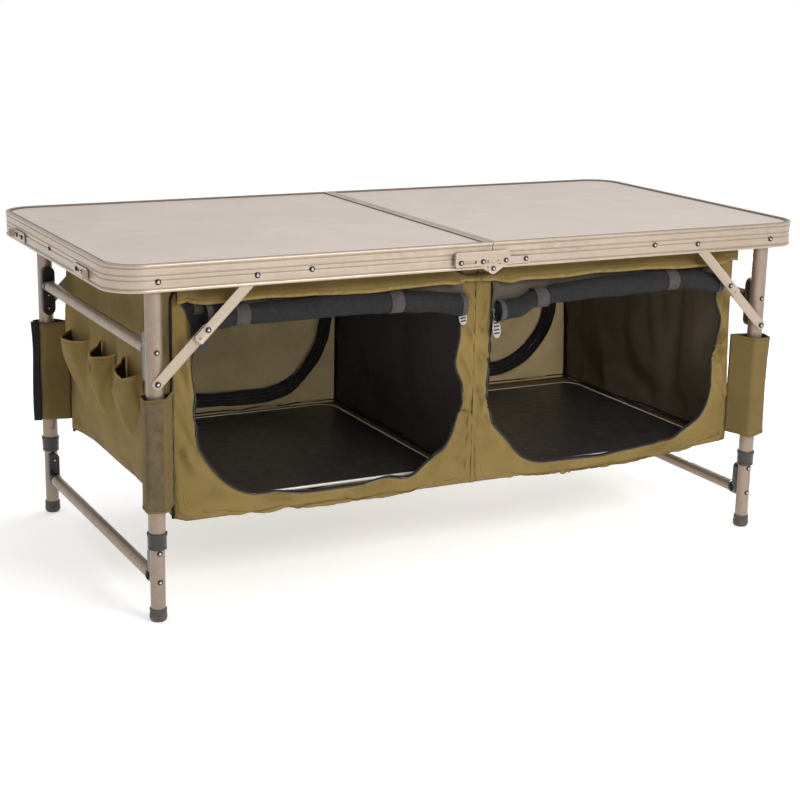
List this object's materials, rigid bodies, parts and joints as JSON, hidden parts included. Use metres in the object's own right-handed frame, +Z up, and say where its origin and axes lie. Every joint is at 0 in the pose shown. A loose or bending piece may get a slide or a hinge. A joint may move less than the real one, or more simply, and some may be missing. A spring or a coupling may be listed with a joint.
{
  "type": "folding camp kitchen table",
  "caption": "Folding case table for camp cooking: two framed half tops on folding telescopic legs, with a hanging two-compartment fabric storage unit.",
  "frame": {"origin": "on the floor under the middle of the top, on the seam between the two halves", "axes": "+X along the length to the right-hand end, +Y towards the back, +Z up"},
  "size_m": [1.218, 0.618, 0.531],
  "materials": {
    "anodised_rail": "satin champagne anodised extrusion",
    "coated_tube": "satin bronze-beige coated tube",
    "laminate_board": "matte warm grey laminate with a fine grain, on fibreboard",
    "black_plastic": "moulded, satin",
    "rubber": "matte moulded rubber",
    "plated_steel": "plated",
    "olive_fabric": "woven coated polyester",
    "black_fabric": "woven polyester",
    "board_plastic": "smooth black sheet"
  },
  "bodies": {
    "left_top": {"left_frame": "anodised_rail", "left_panel": "laminate_board", "front_left_hinge_leaf": "anodised_rail", "rear_left_hinge_leaf": "anodised_rail", "left_compartment": "olive_fabric", "left_base_board": "board_plastic", "left_rolled_door": "black_fabric", "left_front_leg_sleeve": "olive_fabric", "left_rear_leg_sleeve": "olive_fabric", "tool_pocket_panel": "olive_fabric"},
    "left_legs": {"left_front_upper_leg": "coated_tube", "left_rear_upper_leg": "coated_tube", "left_front_upper_bracket": "black_plastic", "left_rear_upper_bracket": "black_plastic", "left_upper_crossbar": "coated_tube"},
    "left_lower_legs": {"left_front_lower_leg": "coated_tube", "left_rear_lower_leg": "coated_tube", "left_front_lower_bracket": "black_plastic", "left_rear_lower_bracket": "black_plastic", "left_front_foot": "rubber", "left_rear_foot": "rubber", "left_lower_crossbar": "coated_tube"},
    "right_top": {"right_frame": "anodised_rail", "right_panel": "laminate_board", "front_right_hinge_leaf": "anodised_rail", "rear_right_hinge_leaf": "anodised_rail", "right_compartment": "olive_fabric", "right_base_board": "board_plastic", "right_rolled_door": "black_fabric", "right_front_leg_sleeve": "olive_fabric", "right_rear_leg_sleeve": "olive_fabric"},
    "right_legs": {"right_front_upper_leg": "coated_tube", "right_rear_upper_leg": "coated_tube", "right_front_upper_bracket": "black_plastic", "right_rear_upper_bracket": "black_plastic", "right_upper_crossbar": "coated_tube"},
    "right_lower_legs": {"right_front_lower_leg": "coated_tube", "right_rear_lower_leg": "coated_tube", "right_front_lower_bracket": "black_plastic", "right_rear_lower_bracket": "black_plastic", "right_front_foot": "rubber", "right_rear_foot": "rubber", "right_lower_crossbar": "coated_tube"},
    "left_front_button": {"left_front_snap_button": "plated_steel"},
    "left_front_upper_link": {"left_front_upper_brace_link": "coated_tube"},
    "left_front_lower_link": {"left_front_lower_brace_link": "coated_tube"},
    "left_rear_button": {"left_rear_snap_button": "plated_steel"},
    "left_rear_upper_link": {"left_rear_upper_brace_link": "coated_tube"},
    "left_rear_lower_link": {"left_rear_lower_brace_link": "coated_tube"},
    "right_front_button": {"right_front_snap_button": "plated_steel"},
    "right_front_upper_link": {"right_front_upper_brace_link": "coated_tube"},
    "right_front_lower_link": {"right_front_lower_brace_link": "coated_tube"},
    "right_rear_button": {"right_rear_snap_button": "plated_steel"},
    "right_rear_upper_link": {"right_rear_upper_brace_link": "coated_tube"},
    "right_rear_lower_link": {"right_rear_lower_brace_link": "coated_tube"},
    "front_latch": {"front_latch_plate": "anodised_rail"},
    "front_catch": {"front_end_catch": "anodised_rail"},
    "rear_latch": {"rear_latch_plate": "anodised_rail"},
    "rear_catch": {"rear_end_catch": "anodised_rail"},
    "handle": {"carry_handle": "black_plastic"}
  },
  "joints": [
    {"name": "centre_fold", "type": "hinge", "parent": "left_top", "child": "right_top", "pos_m": [0, 0, 0.4915], "axis": [0, 1, 0], "range_deg": [0, 90], "deforming": ["left_compartment", "left_base_board", "left_rolled_door", "left_front_leg_sleeve", "left_rear_leg_sleeve", "right_compartment", "right_base_board", "right_rolled_door", "right_front_leg_sleeve", "right_rear_leg_sleeve", "tool_pocket_panel"]},
    {"name": "left_leg_fold", "type": "hinge", "parent": "left_top", "child": "left_legs", "pos_m": [-0.531, 0, 0.506], "axis": [0, -1, 0], "range_deg": [0, 90]},
    {"name": "left_leg_extension", "type": "slide", "parent": "left_legs", "child": "left_lower_legs", "axis": [0, 0, 1], "range_m": [-0.12, 0]},
    {"name": "left_front_button_press", "type": "slide", "parent": "left_lower_legs", "child": "left_front_button", "axis": [0, -1, 0], "range_m": [0, 0.003], "stiffness_N_per_m": 300},
    {"name": "left_front_upper_link_turn", "type": "hinge", "parent": "left_top", "child": "left_front_upper_link", "pos_m": [-0.3835, 0, 0.506], "axis": [0, 1, 0], "range_deg": [0, 45]},
    {"name": "left_front_lower_link_turn", "type": "hinge", "parent": "left_legs", "child": "left_front_lower_link", "pos_m": [-0.531, 0, 0.3585], "axis": [0, -1, 0], "range_deg": [0, 45]},
    {"name": "left_rear_button_press", "type": "slide", "parent": "left_lower_legs", "child": "left_rear_button", "axis": [0, 1, 0], "range_m": [0, 0.003], "stiffness_N_per_m": 300},
    {"name": "left_rear_upper_link_turn", "type": "hinge", "parent": "left_top", "child": "left_rear_upper_link", "pos_m": [-0.3835, 0, 0.506], "axis": [0, 1, 0], "range_deg": [0, 45]},
    {"name": "left_rear_lower_link_turn", "type": "hinge", "parent": "left_legs", "child": "left_rear_lower_link", "pos_m": [-0.531, 0, 0.3585], "axis": [0, -1, 0], "range_deg": [0, 45]},
    {"name": "right_leg_fold", "type": "hinge", "parent": "right_top", "child": "right_legs", "pos_m": [0.531, 0, 0.506], "axis": [0, 1, 0], "range_deg": [0, 90]},
    {"name": "right_leg_extension", "type": "slide", "parent": "right_legs", "child": "right_lower_legs", "axis": [0, 0, 1], "range_m": [-0.12, 0]},
    {"name": "right_front_button_press", "type": "slide", "parent": "right_lower_legs", "child": "right_front_button", "axis": [0, -1, 0], "range_m": [0, 0.003], "stiffness_N_per_m": 300},
    {"name": "right_front_upper_link_turn", "type": "hinge", "parent": "right_top", "child": "right_front_upper_link", "pos_m": [0.3835, 0, 0.506], "axis": [0, -1, 0], "range_deg": [0, 45]},
    {"name": "right_front_lower_link_turn", "type": "hinge", "parent": "right_legs", "child": "right_front_lower_link", "pos_m": [0.531, 0, 0.3585], "axis": [0, 1, 0], "range_deg": [0, 45]},
    {"name": "right_rear_button_press", "type": "slide", "parent": "right_lower_legs", "child": "right_rear_button", "axis": [0, 1, 0], "range_m": [0, 0.003], "stiffness_N_per_m": 300},
    {"name": "right_rear_upper_link_turn", "type": "hinge", "parent": "right_top", "child": "right_rear_upper_link", "pos_m": [0.3835, 0, 0.506], "axis": [0, -1, 0], "range_deg": [0, 45]},
    {"name": "right_rear_lower_link_turn", "type": "hinge", "parent": "right_legs", "child": "right_rear_lower_link", "pos_m": [0.531, 0, 0.3585], "axis": [0, 1, 0], "range_deg": [0, 45]},
    {"name": "front_latch_slide", "type": "slide", "parent": "left_top", "child": "front_latch", "axis": [-1, 0, 0], "range_m": [0, 0.021]},
    {"name": "front_catch_slide", "type": "slide", "parent": "left_top", "child": "front_catch", "axis": [0, 1, 0], "range_m": [0, 0.01]},
    {"name": "rear_latch_slide", "type": "slide", "parent": "left_top", "child": "rear_latch", "axis": [-1, 0, 0], "range_m": [0, 0.021]},
    {"name": "rear_catch_slide", "type": "slide", "parent": "left_top", "child": "rear_catch", "axis": [0, -1, 0], "range_m": [0, 0.01]},
    {"name": "handle_swing", "type": "hinge", "parent": "right_top", "child": "handle", "pos_m": [0.6045, 0, 0.502], "axis": [0, -1, 0], "range_deg": [0, 95]}
  ],
  "couplings": [
    {"joint": "left_front_upper_link_turn", "follows": "left_leg_fold", "ratio": 0.5},
    {"joint": "left_front_lower_link_turn", "follows": "left_leg_fold", "ratio": 0.5},
    {"joint": "left_rear_upper_link_turn", "follows": "left_leg_fold", "ratio": 0.5},
    {"joint": "left_rear_lower_link_turn", "follows": "left_leg_fold", "ratio": 0.5},
    {"joint": "right_front_upper_link_turn", "follows": "right_leg_fold", "ratio": 0.5},
    {"joint": "right_front_lower_link_turn", "follows": "right_leg_fold", "ratio": 0.5},
    {"joint": "right_rear_upper_link_turn", "follows": "right_leg_fold", "ratio": 0.5},
    {"joint": "right_rear_lower_link_turn", "follows": "right_leg_fold", "ratio": 0.5}
  ]
}
